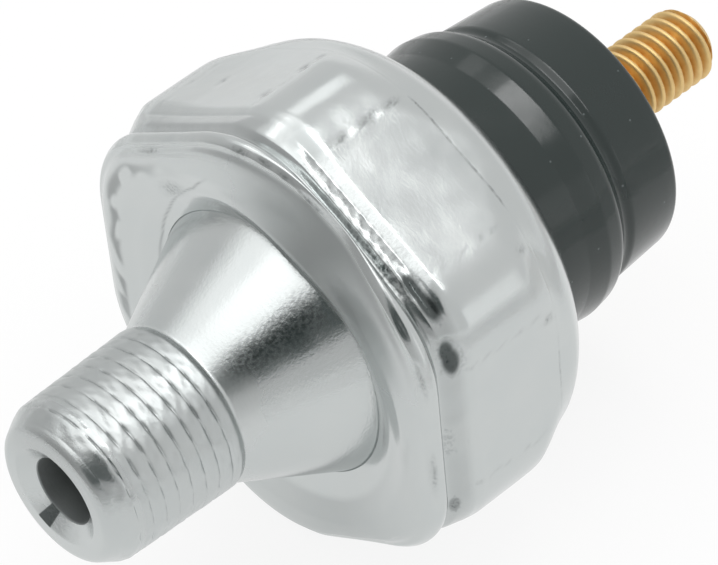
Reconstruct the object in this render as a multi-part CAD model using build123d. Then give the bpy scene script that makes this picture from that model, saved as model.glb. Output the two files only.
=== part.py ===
from build123d import *
import os

# Oil pressure sender for an engine: a plated steel fitting with a taper pipe thread, a hexagonal
# steel cup crimped over it, and a moulded black insulator that carries a brass terminal stud.
# The axis of the whole part is X. The pipe thread points to -X and the terminal stud to +X.
# X = 0 is where the pipe thread ends and the cone of the fitting begins. Two corners of the
# hexagon point to +Z and -Z. All sizes are millimetres.

# Pipe thread nose of the fitting
thread_length = 9.0
nose_crest_radius = 4.95
pipe_taper = 1 / 32
nose_face_radius = 4.2
lead_in_length = 1.45
run_out_width = 0.9
run_out_radius = 4.86

# Oil port through the fitting
port_radius = 2.08
port_mouth_radius = 3.1
port_mouth_depth = 0.65

# Cone and flange of the fitting
cone_length = 7.3
cone_root_round = 1.2
flange_thickness = 2.4
flange_edge_chamfer = 0.3
chamber_step = 0.4
chamber_depth = 0.9

# Hexagonal section of the cup
cup_wall = 1.15
bore_clearance = 0.1
hex_half_width = 13.25
hex_length = 8.3
hex_corner_round = 5.0
hex_corner_front_step = 0.95
hex_corner_front_length = 0.6
hex_corner_shoulder_step = 1.45
hex_corner_rear_step = 0.15
hex_corner_rear_length = 2.0
hex_corner_rear_overlap = 0.75
hex_front_slope_depth = 0.35
hex_front_slope_length = 2.2

# Lip and bead crimped over the flange
lip_thickness = 1.3
lip_reach = 3.35
lip_edge_thickness = 0.3
lip_edge_gap = 0.15
lip_slope_width = 1.55
lip_slope_depth = 0.9
lip_roll_width = 0.7
lip_roll_round = 0.6
bead_length = 1.5
bead_corner_round = 8.0
bead_front_round = 1.4
crease_width = 0.45
crease_depth = 0.45
crease_corner_round = 5.4

# Dome rolled over the insulator
dome_radius = 5.1
dome_step = 0.7
dome_step_length = 0.35
dome_root_depth = 0.25
dome_setback = 1.3
crimp_wall = 1.1
opening_clearance = 0.08
opening_edge_round = 0.35

# Parts clamped behind the flange
seal_thickness = 0.6
seal_width = 3.2
diaphragm_thickness = 0.25
convolution_margin = 1.4
convolution_width = 1.6
convolution_height = 0.5
ground_plate_thickness = 1.4
contact_rim_height = 0.3
contact_rim_radius = 4.9
contact_rim_width = 0.7

# Moving contact and its plunger
contact_travel = 0.5
foot_radius = 4.2
foot_thickness = 0.4
foot_clearance = 0.3
stem_radius = 2.6
stem_clearance = 0.1
lift_gap = 0.05
contact_overhang = 0.5
contact_thickness = 0.5
contact_boss_height = 0.8

# Contact spring
spring_length = 4.3
spring_wire_radius = 0.24
spring_mean_radius = 2.6
spring_turns = 4.5
spring_seat_gap = 0.02
spring_pilot_gap = 0.4

# Moulded insulator
shoulder_gap = 0.08
contact_side_gap = 0.9
neck_radius = 9.35
neck_end = 25.5
neck_end_round = 4.0
boot_start = 27.2
boot_start_radius = 8.6
boot_start_round = 0.8
boot_end_radius = 8.38
boot_end_round = 0.45
insulator_end = 31.1

# Brass terminal stud
stud_radius = 2.39
stud_exposed_length = 10.25
stud_tip_chamfer = 0.5
stud_head_radius = 4.2
stud_head_thickness = 1.6
stud_pilot_height = 0.7
stud_shank_radius = 3.0
knurl_distance = 3.0
knurl_length = 4.0
knurl_height = 0.6
knurl_flat_count = 12

# Overrun of cutting and joining bodies past the faces that they meet
overrun = 1.0

# Positions along the axis that follow from the sizes above
nose_face = -thread_length
flange_front = cone_length
flange_rear = flange_front + flange_thickness
diaphragm_front = flange_rear + seal_thickness
diaphragm_rear = diaphragm_front + diaphragm_thickness
plate_rear = diaphragm_rear + ground_plate_thickness
contact_front = plate_rear + contact_rim_height
contact_rear = contact_front + contact_thickness
stud_head_front = contact_rear + spring_length
stud_head_rear = stud_head_front + stud_head_thickness
stud_end = insulator_end + stud_exposed_length
lip_front = flange_front - lip_thickness
bead_rear = lip_front + bead_length
hex_front = bead_rear + crease_width
hex_flat_start = hex_front + hex_front_slope_length
hex_rear = hex_front + hex_length
dome_centre = hex_rear - dome_setback

# Radii that follow from the sizes above
cup_bore_radius = hex_half_width - cup_wall
flange_radius = cup_bore_radius - bore_clearance
lip_edge_radius = cup_bore_radius - lip_reach
cone_base_radius = lip_edge_radius - lip_edge_gap
seal_inner_radius = flange_radius - seal_width
chamber_radius = seal_inner_radius - chamber_step
convolution_radius = seal_inner_radius - convolution_margin - convolution_width / 2
dome_centre_radius = hex_half_width + dome_step - dome_radius
opening_radius = neck_radius + opening_clearance
contact_radius = contact_rim_radius + contact_rim_width / 2 + contact_overhang
cavity_radius = contact_radius + contact_side_gap
pilot_radius = spring_mean_radius - spring_wire_radius - spring_pilot_gap
knurl_radius = stud_shank_radius + knurl_height


def taper_radius(x):
    """Crest radius of the taper pipe thread at the axial position x."""
    return nose_crest_radius + (x + thread_length) * pipe_taper


def dome_position(arc_radius, radius):
    """Axial position where a concentric arc of the dome is at this distance from the axis."""
    return dome_centre + (arc_radius**2 - (radius - dome_centre_radius) ** 2) ** 0.5


def turned(*corners):
    """Turned solid. Each corner is its distance along the axis, its radius and its rounding."""
    points = [(corner[0], corner[1]) for corner in corners]
    rounds = [corner[2] if len(corner) > 2 else 0 for corner in corners]
    outline = FilletPolyline(*points, radius=rounds, close=True)
    return revolve(Plane.XZ * make_face(outline), Axis.X)


def ring(start, end, inner_radius, outer_radius):
    """Plain turned ring between two planes across the axis."""
    return turned((start, inner_radius), (end, inner_radius), (end, outer_radius), (start, outer_radius))


def disc(start, end, radius):
    """Plain round disc between two planes across the axis."""
    return ring(start, end, 0, radius)


def hexagonal_bar(start, end, half_width, corner_round):
    """Hexagonal bar along the axis with rounded corners, two of them pointing up and down."""
    outline = RegularPolygon(half_width, 6, major_radius=False)
    outline = fillet(outline.vertices(), corner_round)
    across = Plane(origin=(start, 0, 0), x_dir=(0, 0, 1), z_dir=(1, 0, 0))
    return extrude(across * outline, end - start)


def edges_at(solid, position):
    """Edges that lie wholly in the plane across the axis at this position."""
    return solid.edges().filter_by_position(Axis.X, position - 0.001, position + 0.001)


def fitting():
    """Nose with its pipe thread envelope, oil port, cone and clamped flange, turned in one piece."""
    lead_in_end = nose_face + lead_in_length
    port_end = flange_rear - chamber_depth
    return turned(
        (nose_face + port_mouth_depth, port_radius),
        (nose_face, port_mouth_radius, 0.1),
        (nose_face, nose_face_radius, 0.2),
        (lead_in_end, taper_radius(lead_in_end), 0.3),
        (-run_out_width, taper_radius(-run_out_width)),
        (-run_out_width + 0.15, run_out_radius),
        (0, run_out_radius, cone_root_round),
        (flange_front, cone_base_radius, 0.25),
        (flange_front, flange_radius - flange_edge_chamfer),
        (flange_front + flange_edge_chamfer, flange_radius),
        (flange_rear, flange_radius),
        (flange_rear, chamber_radius),
        (port_end, chamber_radius, 0.3),
        (port_end, port_radius),
    )


def hexagon_between(start, end, start_half_width, end_half_width):
    """Sharp hexagonal body whose half width changes evenly from one end to the other."""
    sections = []
    for position, half_width in ((start, start_half_width), (end, end_half_width)):
        across = Plane(origin=(position, 0, 0), x_dir=(0, 0, 1), z_dir=(1, 0, 0))
        sections.append(across * RegularPolygon(half_width, 6, major_radius=False))
    return loft(sections, ruled=True)


def hexagon_with_tapered_corners():
    """Hexagonal section: flats that slope down to the crease, corners cut back at both ends."""
    bar_rear = hex_rear + hex_corner_rear_overlap
    bar = hexagonal_bar(hex_front, bar_rear, hex_half_width, hex_corner_round)
    front_half_width = hex_half_width - hex_front_slope_depth
    sloped = hexagon_between(hex_front, hex_flat_start, front_half_width, hex_half_width)
    sloped += hexagon_between(hex_flat_start, bar_rear, hex_half_width, hex_half_width)
    shoulder_radius = hex_half_width + hex_corner_shoulder_step
    envelope = turned(
        (hex_front, 0),
        (hex_front, hex_half_width + hex_corner_front_step),
        (hex_front + hex_corner_front_length, shoulder_radius),
        (hex_rear - hex_corner_rear_length, shoulder_radius, 1.0),
        (bar_rear, hex_half_width + hex_corner_rear_step),
        (bar_rear, 0),
    )
    return bar & sloped & envelope


def crimped_dome():
    """Round shoulder behind the hexagon, rolled in over the insulator, as a solid of revolution."""
    step_end = hex_rear + dome_step_length
    step_radius = dome_centre_radius + (dome_radius**2 - (step_end - dome_centre) ** 2) ** 0.5
    middle = (step_radius + opening_radius) / 2
    end = dome_position(dome_radius, opening_radius)
    straight = Polyline(
        (end, opening_radius),
        (end, 0),
        (hex_rear, 0),
        (hex_rear, hex_half_width - dome_root_depth),
        (step_end, step_radius),
    )
    rolled = ThreePointArc(
        (step_end, step_radius),
        (dome_position(dome_radius, middle), middle),
        (end, opening_radius),
    )
    return revolve(Plane.XZ * make_face([straight, rolled]), Axis.X)


def cup_cavity():
    """Inside of the cup: round bore, rolled inner face of the dome and the rear opening."""
    inner_arc = dome_radius - crimp_wall
    bore_end = dome_position(inner_arc, cup_bore_radius)
    arc_end = dome_position(inner_arc, opening_radius)
    middle = (cup_bore_radius + opening_radius) / 2
    bore = Polyline(
        (arc_end, opening_radius),
        (arc_end, 0),
        (flange_front, 0),
        (flange_front, cup_bore_radius),
        (bore_end, cup_bore_radius),
    )
    rolled = ThreePointArc(
        (bore_end, cup_bore_radius),
        (dome_position(inner_arc, middle), middle),
        (arc_end, opening_radius),
    )
    room = revolve(Plane.XZ * make_face([bore, rolled]), Axis.X)
    rear_opening = disc(arc_end - 0.5, arc_end + 2 * crimp_wall, opening_radius)
    return room + rear_opening


def lip_opening():
    """Front opening of the cup: edge at the cone, slope up to the crease, roll to the flat face."""
    crease_radius = lip_edge_radius + lip_slope_width
    face_radius = crease_radius + lip_roll_width
    edge_front = flange_front - lip_edge_thickness
    return turned(
        (flange_front, 0),
        (flange_front, lip_edge_radius),
        (edge_front, lip_edge_radius, 0.1),
        (edge_front + lip_edge_thickness - lip_slope_depth, crease_radius),
        (lip_front, face_radius, lip_roll_round),
        (lip_front - overrun, face_radius),
        (lip_front - overrun, 0),
    )


def shell():
    """Hexagonal cup: front bead and lip crimped over the flange, creased into the hexagon."""
    bead = hexagonal_bar(lip_front, bead_rear, hex_half_width, bead_corner_round)
    bead = fillet(edges_at(bead, lip_front), bead_front_round)
    crease = hexagonal_bar(
        bead_rear - crease_width,
        hex_front + crease_width,
        hex_half_width - crease_depth,
        crease_corner_round,
    )
    solid = bead + crease + hexagon_with_tapered_corners() + crimped_dome()
    solid -= cup_cavity()
    solid -= lip_opening()
    rear_edge = edges_at(solid, dome_position(dome_radius, opening_radius))
    return fillet(rear_edge, opening_edge_round)


def seal_ring():
    """Flat rubber ring between the flange and the diaphragm."""
    return ring(flange_rear, diaphragm_front, seal_inner_radius, flange_radius)


def diaphragm():
    """Thin film disc with one pressed convolution that bulges towards the oil chamber."""
    inner = convolution_radius - convolution_width / 2
    outer = convolution_radius + convolution_width / 2
    crest = diaphragm_front - convolution_height
    trough = diaphragm_rear - convolution_height
    return turned(
        (diaphragm_rear, 0),
        (diaphragm_rear, inner, 0.2),
        (trough, convolution_radius, 0.4),
        (diaphragm_rear, outer, 0.2),
        (diaphragm_rear, flange_radius),
        (diaphragm_front, flange_radius),
        (diaphragm_front, outer, 0.2),
        (crest, convolution_radius, 0.4),
        (diaphragm_front, inner, 0.2),
        (diaphragm_front, 0),
    )


def ground_plate():
    """Brass plate that earths to the cup, guides the plunger and carries the fixed contact rim."""
    recess_floor = diaphragm_rear + foot_thickness + contact_travel
    rim_inner = contact_rim_radius - contact_rim_width / 2
    rim_outer = contact_rim_radius + contact_rim_width / 2
    return turned(
        (diaphragm_rear, foot_radius + foot_clearance),
        (recess_floor, foot_radius + foot_clearance),
        (recess_floor, stem_radius + stem_clearance),
        (plate_rear, stem_radius + stem_clearance),
        (plate_rear, rim_inner),
        (contact_front, rim_inner),
        (contact_front, rim_outer),
        (plate_rear, rim_outer),
        (plate_rear, flange_radius),
        (diaphragm_rear, flange_radius),
    )


def plunger():
    """Moulded button that carries the push of the diaphragm to the moving contact."""
    foot_rear = diaphragm_rear + foot_thickness
    stem_end = contact_front - lift_gap
    return turned(
        (diaphragm_rear, 0),
        (diaphragm_rear, foot_radius, 0.15),
        (foot_rear, foot_radius, 0.1),
        (foot_rear, stem_radius),
        (stem_end, stem_radius, 0.2),
        (stem_end, 0),
    )


def moving_contact():
    """Brass contact disc that the spring holds on the fixed rim, with a pilot for the spring."""
    return turned(
        (contact_front, 0),
        (contact_front, contact_radius, 0.15),
        (contact_rear, contact_radius, 0.15),
        (contact_rear, pilot_radius),
        (contact_rear + contact_boss_height, pilot_radius, 0.3),
        (contact_rear + contact_boss_height, 0),
    )


def contact_spring():
    """Compression spring between the stud's head and the moving contact."""
    end_gap = spring_wire_radius + spring_seat_gap
    height = spring_length - 2 * end_gap
    start = contact_rear + end_gap
    coil = Helix(height / spring_turns, height, spring_mean_radius, center=(start, 0, 0), direction=(1, 0, 0))
    wire_section = Plane(origin=coil @ 0, z_dir=coil % 0) * Circle(spring_wire_radius)
    return sweep(wire_section, path=coil, is_frenet=True)


def terminal_stud():
    """Brass stud: head with a spring pilot, knurled shank in the moulding, threaded end."""
    collar_start = stud_head_rear + knurl_distance
    collar_plane = Plane(origin=(collar_start, 0, 0), x_dir=(0, 0, 1), z_dir=(1, 0, 0))
    collar = extrude(collar_plane * RegularPolygon(knurl_radius, knurl_flat_count), knurl_length)
    stud = turned(
        (stud_head_front - stud_pilot_height, 0),
        (stud_head_front - stud_pilot_height, pilot_radius, 0.3),
        (stud_head_front, pilot_radius),
        (stud_head_front, stud_head_radius, 0.2),
        (stud_head_rear, stud_head_radius),
        (stud_head_rear, stud_shank_radius),
        (insulator_end, stud_shank_radius),
        (insulator_end, stud_radius),
        (stud_end - stud_tip_chamfer, stud_radius),
        (stud_end, stud_radius - stud_tip_chamfer),
        (stud_end, 0),
    )
    return stud + collar


def insulator():
    """Moulded insulator: flange under the dome, neck, boot, contact cavity, moulded round the stud."""
    shoulder_arc = dome_radius - crimp_wall - shoulder_gap
    shoulder_start = dome_position(shoulder_arc, flange_radius)
    shoulder_end = dome_position(shoulder_arc, neck_radius)
    middle = (flange_radius + neck_radius) / 2
    body_outline = Polyline((shoulder_end, neck_radius), (shoulder_end, 0), (plate_rear, 0))
    body_outline += Polyline((plate_rear, 0), (plate_rear, flange_radius), (shoulder_start, flange_radius))
    shoulder = ThreePointArc(
        (shoulder_start, flange_radius),
        (dome_position(shoulder_arc, middle), middle),
        (shoulder_end, neck_radius),
    )
    body = revolve(Plane.XZ * make_face([body_outline, shoulder]), Axis.X)
    body += turned(
        (shoulder_end - overrun, 0),
        (shoulder_end - overrun, neck_radius),
        (neck_end, neck_radius, neck_end_round),
        (boot_start, boot_start_radius, boot_start_round),
        (insulator_end, boot_end_radius, boot_end_round),
        (insulator_end, 0),
    )
    body -= disc(plate_rear, stud_head_front, cavity_radius)
    return body - terminal_stud()


pieces = {
    "fitting": fitting(),
    "shell": shell(),
    "seal_ring": seal_ring(),
    "diaphragm": diaphragm(),
    "ground_plate": ground_plate(),
    "plunger": plunger(),
    "moving_contact": moving_contact(),
    "contact_spring": contact_spring(),
    "insulator": insulator(),
    "terminal_stud": terminal_stud(),
}

os.makedirs("parts", exist_ok=True)
for name, piece in pieces.items():
    export_step(piece, f"parts/{name}.step")
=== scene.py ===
import math

import bpy
import numpy as np
from bpy.props import FloatProperty, FloatVectorProperty, PointerProperty
from mathutils import Matrix, Vector


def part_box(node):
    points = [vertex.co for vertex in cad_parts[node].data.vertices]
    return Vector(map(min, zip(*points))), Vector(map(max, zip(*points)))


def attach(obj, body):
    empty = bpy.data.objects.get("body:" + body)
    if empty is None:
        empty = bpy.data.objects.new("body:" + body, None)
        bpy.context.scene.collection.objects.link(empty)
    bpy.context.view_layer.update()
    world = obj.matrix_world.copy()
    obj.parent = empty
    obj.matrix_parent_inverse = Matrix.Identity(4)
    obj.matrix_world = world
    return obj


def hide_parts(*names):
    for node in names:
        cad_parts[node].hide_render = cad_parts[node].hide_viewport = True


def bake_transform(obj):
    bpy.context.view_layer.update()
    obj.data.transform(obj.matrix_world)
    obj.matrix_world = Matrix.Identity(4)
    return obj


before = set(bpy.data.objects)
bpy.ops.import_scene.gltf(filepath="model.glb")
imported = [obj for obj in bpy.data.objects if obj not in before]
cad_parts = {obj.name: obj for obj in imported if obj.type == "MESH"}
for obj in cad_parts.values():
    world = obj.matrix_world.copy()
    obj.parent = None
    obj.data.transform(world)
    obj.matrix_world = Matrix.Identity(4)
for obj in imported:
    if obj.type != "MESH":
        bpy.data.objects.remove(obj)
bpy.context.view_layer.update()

bl_info = {
    "name": "Oil pressure sender",
    "version": (1, 0, 0),
    "blender": (4, 5, 0),
    "location": "3D View > Sidebar > Sender",
    "description": "Oil pressure sender: plated fitting, crimped cup, moulded insulator and brass stud",
    "category": "Object",
}

# The axis of the sender is X, with the nose towards -X. Angles round the axis start at +Z, where
# one corner of the hexagon is, and grow towards +Y. The frame is in metres, and profiles and marks
# are worked out in millimetres.
MM = 0.001
FITTING_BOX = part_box("fitting")
SHELL_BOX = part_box("shell")
INSULATOR_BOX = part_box("insulator")
STUD_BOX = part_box("terminal_stud")
SPRING_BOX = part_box("contact_spring")

# Faces that meet at more than this angle keep a sharp edge between them.
SHARP_EDGE = math.radians(38)
# Distance between the grid's rings along a thread, close enough to round its crests.
THREAD_STEP = 0.045 * MM
# Half width of a flat, in millimetres, from which a ring belongs to the cup's side.
CUP_SIDE = 12.2
# Numbers of a colour Mix node's sockets: its two colours and its result.
COLOUR_A, COLOUR_B, COLOUR_OUT = 6, 7, 2


def length(name, description, default_mm):
    """Property for a length, written in millimetres and kept in metres."""
    return FloatProperty(
        name=name, description=description, default=default_mm * MM, unit="LENGTH", precision=5
    )


def angle(name, description, degrees):
    """Property for an angle, written in degrees and kept in radians."""
    return FloatProperty(
        name=name, description=description, default=math.radians(degrees), subtype="ANGLE", precision=5
    )


def number(name, description, default):
    """Property for a plain number."""
    return FloatProperty(name=name, description=description, default=default)


def colour(name, description, code):
    """Property for a surface colour, written as an sRGB hex code and kept linear."""
    return FloatVectorProperty(
        name=name, description=description, default=linear(code), subtype="COLOR", size=3
    )


def linear(code):
    """sRGB hex code as linear red, green and blue."""
    values = [int(code[i:i + 2], 16) / 255 for i in (1, 3, 5)]
    return [v / 12.92 if v <= 0.04045 else ((v + 0.055) / 1.055) ** 2.4 for v in values]


class FittingSizes(bpy.types.PropertyGroup):
    thread_pitch: length("Thread pitch", "Distance between two turns, 27 to the inch", 0.9407)
    groove_depth: length("Groove depth", "How deep the plated thread groove is under the crest", 0.07)
    crest_camber: length("Crest camber", "How much the crest falls from its middle to the groove", 0.014)
    groove_angle: angle("Groove angle", "Angle between the flanks", 60)
    crest_radius: length("Crest radius", "Radius of the thread's crest at the nose", 4.95)
    taper: number("Taper", "Growth of the radius along the thread", 1 / 32)
    groove_start: length("Groove start", "Place of one groove at the top of the sender", -6.6)
    face_radius: length("Face radius", "Radius of the flat nose face", 4.15)
    lead_in: length("Lead-in", "Length of the chamfer at the nose", 1.45)
    crest_wave: length("Crest wave", "Height of the uneven waves that the die left in the crests", 0.012)
    port_radius: length("Port radius", "Radius of the oil port", 2.08)
    mouth_radius: length("Port mouth radius", "Radius of the countersink of the port", 3.1)
    mouth_depth: length("Port mouth depth", "Depth of the countersink of the port", 0.65)
    run_out: length("Run-out", "How far before the cone the thread ends", 0.1)
    run_out_radius: length("Run-out radius", "Radius of the shallow groove between thread and cone", 5.04)
    cone_end: length("Cone end", "Place where the cone meets the flange", 7.3)
    cone_radius: length("Cone radius", "Radius of the cone at the flange", 8.6)
    chamber_radius: length("Chamber radius", "Radius of the oil chamber behind the flange", 8.4)
    chamber_depth: length("Chamber depth", "Depth of the oil chamber behind the flange", 0.9)


class ShellSizes(bpy.types.PropertyGroup):
    flat_radius: length("Half width", "Distance from the axis to a flat of the hexagon", 13.25)
    corner_radius: length("Corner radius", "Distance from the axis to a rounded corner", 14.44)
    bead_corner_radius: length("Bead corner radius", "Distance from the axis to a corner of the bead", 14.06)
    bead_place: length("Bead place", "Place along the axis where the bead is widest", 6.9)
    crease_place: length("Crease place", "Place along the axis of the crease behind the bead", 7.78)
    crease_depth: length("Crease depth", "Depth of the crease under the flats", 0.75)
    flat_start: length("Flat start", "Place along the axis where the flats begin", 10.1)
    flat_end: length("Flat end", "Place along the axis where the flats end", 16.2)
    dome_radius: length("Dome radius", "Radius of the rolled rear shoulder", 5.1)
    dome_centre: length("Dome centre", "Place along the axis of the shoulder's centre", 14.95)
    lip_edge_radius: length("Lip edge radius", "Radius of the lip's front edge at the cone", 8.4)
    lip_gap: length("Lip gap", "How much further the lip's edge stands off the cone on one side", 0.22)
    lip_crease_radius: length("Lip crease radius", "Radius of the round crease in the lip", 10.3)
    lip_crease_depth: length("Lip crease depth", "Depth of the round crease under the lip's face", 0.32)
    fold_depth: length("Fold depth", "Depth of the ragged fold between lip and bead", 0.05)
    wall: length("Wall", "Thickness of the cup", 1.15)
    opening_radius: length("Opening radius", "Radius of the rear opening round the insulator", 9.43)
    mark_depth: length("Mark depth", "Depth of the handling dents and pinched pockets", 0.1)


class InsulatorSizes(bpy.types.PropertyGroup):
    neck_radius: length("Neck radius", "Radius of the wide neck", 9.35)
    boot_start: length("Boot start", "Place along the axis of the step between neck and boot", 27.2)
    boot_start_radius: length("Boot start radius", "Radius of the boot behind the step", 8.7)
    step_radius: length("Step radius", "Radius at the foot of the step", 8.4)
    boot_end_radius: length("Boot end radius", "Radius of the boot at its end", 8.38)
    cavity_radius: length("Cavity radius", "Radius of the room round the contact", 6.65)
    cavity_end: length("Cavity end", "Place along the axis of the rear wall of that room", 17.05)
    shoulder_radius: length("Shoulder radius", "Radius of the flange held in the cup", 12.0)


class StudSizes(bpy.types.PropertyGroup):
    thread_pitch: length("Thread pitch", "Distance between two turns, 32 to the inch", 0.79375)
    groove_depth: length("Groove depth", "How deep the thread groove is under the crest", 0.5)
    groove_angle: angle("Groove angle", "Angle between the flanks", 60)
    groove_start: length("Groove start", "Place of one groove at the top of the sender", 35.03)
    crest_radius: length("Crest radius", "Radius of the thread's crest", 2.385)
    thread_begin: length("Thread begin", "Place along the axis where the thread leaves the insulator", 31.1)
    tip_chamfer: length("Tip chamfer", "Size of the chamfer at the tip", 0.8)
    shank_radius: length("Shank radius", "Radius of the shank in the insulator", 3.0)
    head_radius: length("Head radius", "Radius of the head in the contact room", 4.2)
    head_thickness: length("Head thickness", "Thickness of the head in the contact room", 1.6)
    pilot_radius: length("Pilot radius", "Radius of the pilot inside the spring", 1.96)
    pilot_height: length("Pilot height", "Height of the pilot inside the spring", 0.7)


class SpringSizes(bpy.types.PropertyGroup):
    wire_radius: length("Wire radius", "Radius of the spring's wire", 0.24)
    mean_radius: length("Mean radius", "Distance from the axis to the middle of the wire", 2.6)
    coils: number("Coils", "Number of turns of the spring", 4.5)


class FinishColours(bpy.types.PropertyGroup):
    zinc: colour("Zinc plate", "Bright zinc on the fitting and the cup", "#c9cccb")
    zinc_shade: colour("Dull zinc", "Dull patches of the zinc", "#bfc4c4")
    # The grey of grime, also laid in as painted shade and painted dark reflection.
    grime_and_shade: colour("Grime", "Grey deposit in creases and folds", "#353c3b")
    plastic: colour("Black plastic", "Moulded insulator", "#1c2725")
    plastic_speck: colour("Filler specks", "Mineral filler that shows at the surface", "#8b9495")
    brass: colour("Brass", "Crests and tip of the stud", "#e2c48a")
    brass_groove: colour("Brass in the grooves", "Darker, redder brass between the turns", "#c99a55")
    rubber: colour("Rubber", "Seal ring", "#1d1f20")
    film: colour("Film", "Diaphragm", "#b7792a")
    nylon: colour("Nylon", "Plunger", "#d8d3c4")
    spring: colour("Spring wire", "Contact spring", "#8f9496")
    floor: colour("Floor", "Pale floor under the sender", "#f4f4f4")


class StudioSizes(bpy.types.PropertyGroup):
    lamp_height: length("Lamp height", "Height of the soft lamp over the sender", 300)
    lamp_front: length("Lamp front", "Reach of the soft lamp past the sender towards the nose", 190)
    lamp_back: length("Lamp back", "Reach of the soft lamp past the sender towards the stud", 138)
    lamp_near: length("Lamp near", "Reach of the soft lamp past the sender towards the camera", 131)
    lamp_far: length("Lamp far", "Reach of the soft lamp past the sender away from the camera", 340)
    lamp_light: number("Lamp light", "Light of the soft lamp's brightest part", 0.95)
    strip_light: number("Strip light", "Light of the strip over the stud's side", 3.6)
    side_light: number("Side light", "Light of the upright lamp at the camera's right", 0.25)
    corner_light: number("Corner light", "Light of the small lamps by the top corner", 0.9)
    room_front: number("Room in front", "Light from the side of the nose", 0.46)
    room_side: number("Room at the sides", "Light from the sides", 0.8)
    room_back: number("Room behind", "Light from the side of the stud", 0.86)
    floor_size: length("Floor size", "Length of the floor's sides", 3000)
    floor_white: number("Floor white", "Share of plain white in the floor as camera and metal see it", 0.86)
    camera_distance: length("Camera distance", "Distance from the lens to the origin along the view", 241.59)
    camera_right: length("Origin right", "How far right of the view line the origin lies", -9.858)
    camera_down: length("Origin down", "How far below the view line the origin lies", 6.856)
    camera_lean: angle("Lean", "Angle between the sender's axis and the view line", 61.479)
    camera_rise: angle("Rise", "Tilt of the sender's axis in the picture", 35.864)
    camera_roll: angle("Roll", "Turn of the hexagon's top corner about the axis", 129.6)
    lens: length("Lens", "Focal length on a 36 mm wide sensor", 222.72)


def rounded(corners, steps=6):
    """Profile with its corners rounded. Each corner is x, radius and rounding in millimetres.
    An arc tangent to both sides replaces the corner: it starts and ends at rounding times the
    tangent of half the turning angle from it, and its points are spaced evenly in angle."""
    points = np.array([c[:2] for c in corners], float)
    rounds = [c[2] if len(c) > 2 else 0 for c in corners]
    made = []
    for i, (point, rounding) in enumerate(zip(points, rounds)):
        before, after = points[i - 1], points[(i + 1) % len(points)]
        if not rounding:
            made.append(point[None])
            continue
        into = (point - before) / np.linalg.norm(point - before)
        out = (after - point) / np.linalg.norm(after - point)
        cross = into[0] * out[1] - into[1] * out[0]
        turn = math.atan2(cross, into @ out)
        setback = rounding * math.tan(abs(turn) / 2)
        normal = np.array([-into[1], into[0]]) * math.copysign(1, turn)
        centre = point - into * setback + normal * rounding
        sweep = np.linspace(0, turn, steps + 1)
        spoke = -normal * rounding
        turned = (
            spoke[0] * np.cos(sweep) - spoke[1] * np.sin(sweep),
            spoke[0] * np.sin(sweep) + spoke[1] * np.cos(sweep),
        )
        made.append(centre + np.stack(turned, -1))
    return np.concatenate(made) * MM


def densified(profile, spacing):
    """Profile with extra points, evenly spaced along its length at most this far apart, and with
    its own points kept."""
    lengths = np.linalg.norm(np.diff(profile, axis=0), axis=1)
    steps = np.maximum(1, np.ceil(lengths / spacing)).astype(int)
    start = np.repeat(np.arange(len(steps)), steps)
    share = (np.arange(len(start)) - np.repeat(np.cumsum(steps) - steps, steps)) / steps[start]
    inner = profile[start] + (profile[start + 1] - profile[start]) * share[:, None]
    return np.concatenate([inner, profile[-1:]])


def lathe(name, x, radius, turns, closed=True):
    """Mesh from a grid of places along the axis and radii, one row for each point of the profile
    and one column for each angle: y is radius times sine, z is radius times cosine. A closed
    profile joins its last row to its first, and an open one ends in two points on the axis."""
    turn = turns[None, :]
    points = np.stack([x * np.ones_like(radius), radius * np.sin(turn), radius * np.cos(turn)], -1)
    return grid_mesh(name, points, () if closed else ((x[0, 0], 0, 0), (x[-1, 0], 0, 0)))


def grid_mesh(name, points, poles=()):
    """Smooth mesh from a grid of points whose columns go round. Its first and last rows are joined,
    or each is closed by a fan to its pole."""
    rows, columns = points.shape[:2]
    index = np.arange(rows * columns).reshape(rows, columns)
    top = index[:-1] if poles else index
    below = index[1:] if poles else np.roll(index, -1, 0)
    quads = np.stack([top, below, np.roll(below, -1, 1), np.roll(top, -1, 1)], -1).reshape(-1, 4)
    loops = [quads.ravel()]
    sizes = [np.full(len(quads), 4)]
    vertices = [points.reshape(-1, 3), *(np.array([pole], float) for pole in poles)]
    for number, (edge, order) in enumerate(((index[0], 1), (index[-1], -1))[: len(poles)]):
        pole = rows * columns + number
        fan = np.stack([np.full(columns, pole), edge, np.roll(edge, -1)], -1)[:, ::order]
        loops.append(fan.ravel())
        sizes.append(np.full(columns, 3))
    vertices = np.concatenate(vertices)
    loops, sizes = np.concatenate(loops), np.concatenate(sizes)
    mesh = bpy.data.meshes.new(name)
    mesh.vertices.add(len(vertices))
    mesh.vertices.foreach_set("co", vertices.astype(np.float32).ravel())
    mesh.loops.add(len(loops))
    mesh.loops.foreach_set("vertex_index", loops.astype(np.int32))
    mesh.polygons.add(len(sizes))
    mesh.polygons.foreach_set("loop_start", (np.cumsum(sizes) - sizes).astype(np.int32))
    mesh.update(calc_edges=True)
    mesh.validate()
    mesh.shade_smooth()
    mesh.set_sharp_from_angle(angle=SHARP_EDGE)
    made = bpy.data.objects.new(name, mesh)
    bpy.context.scene.collection.objects.link(made)
    return made


def stored(piece, name, grid):
    """Keeps one number for each point of the lathe grid, and 0 for the poles, as an attribute."""
    values = np.zeros(len(piece.data.vertices), np.float32)
    values[: grid.size] = grid.ravel()
    piece.data.attributes.new(name, "FLOAT", "POINT").data.foreach_set("value", values)


def angles(count):
    """Evenly spaced angles round the axis."""
    return np.arange(count) * math.tau / count


def ripple(turns, orders, seed):
    """Random line round the axis that closes on itself: cosine waves, one for each order, whose
    phases come from the seed, summed and divided by the root of their number."""
    phases = np.random.default_rng(seed).uniform(0, math.tau, len(orders))
    waves = np.cos(turns[:, None] * np.array(orders)[None, :] + phases[None, :])
    return waves.sum(1) / math.sqrt(len(orders))


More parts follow.
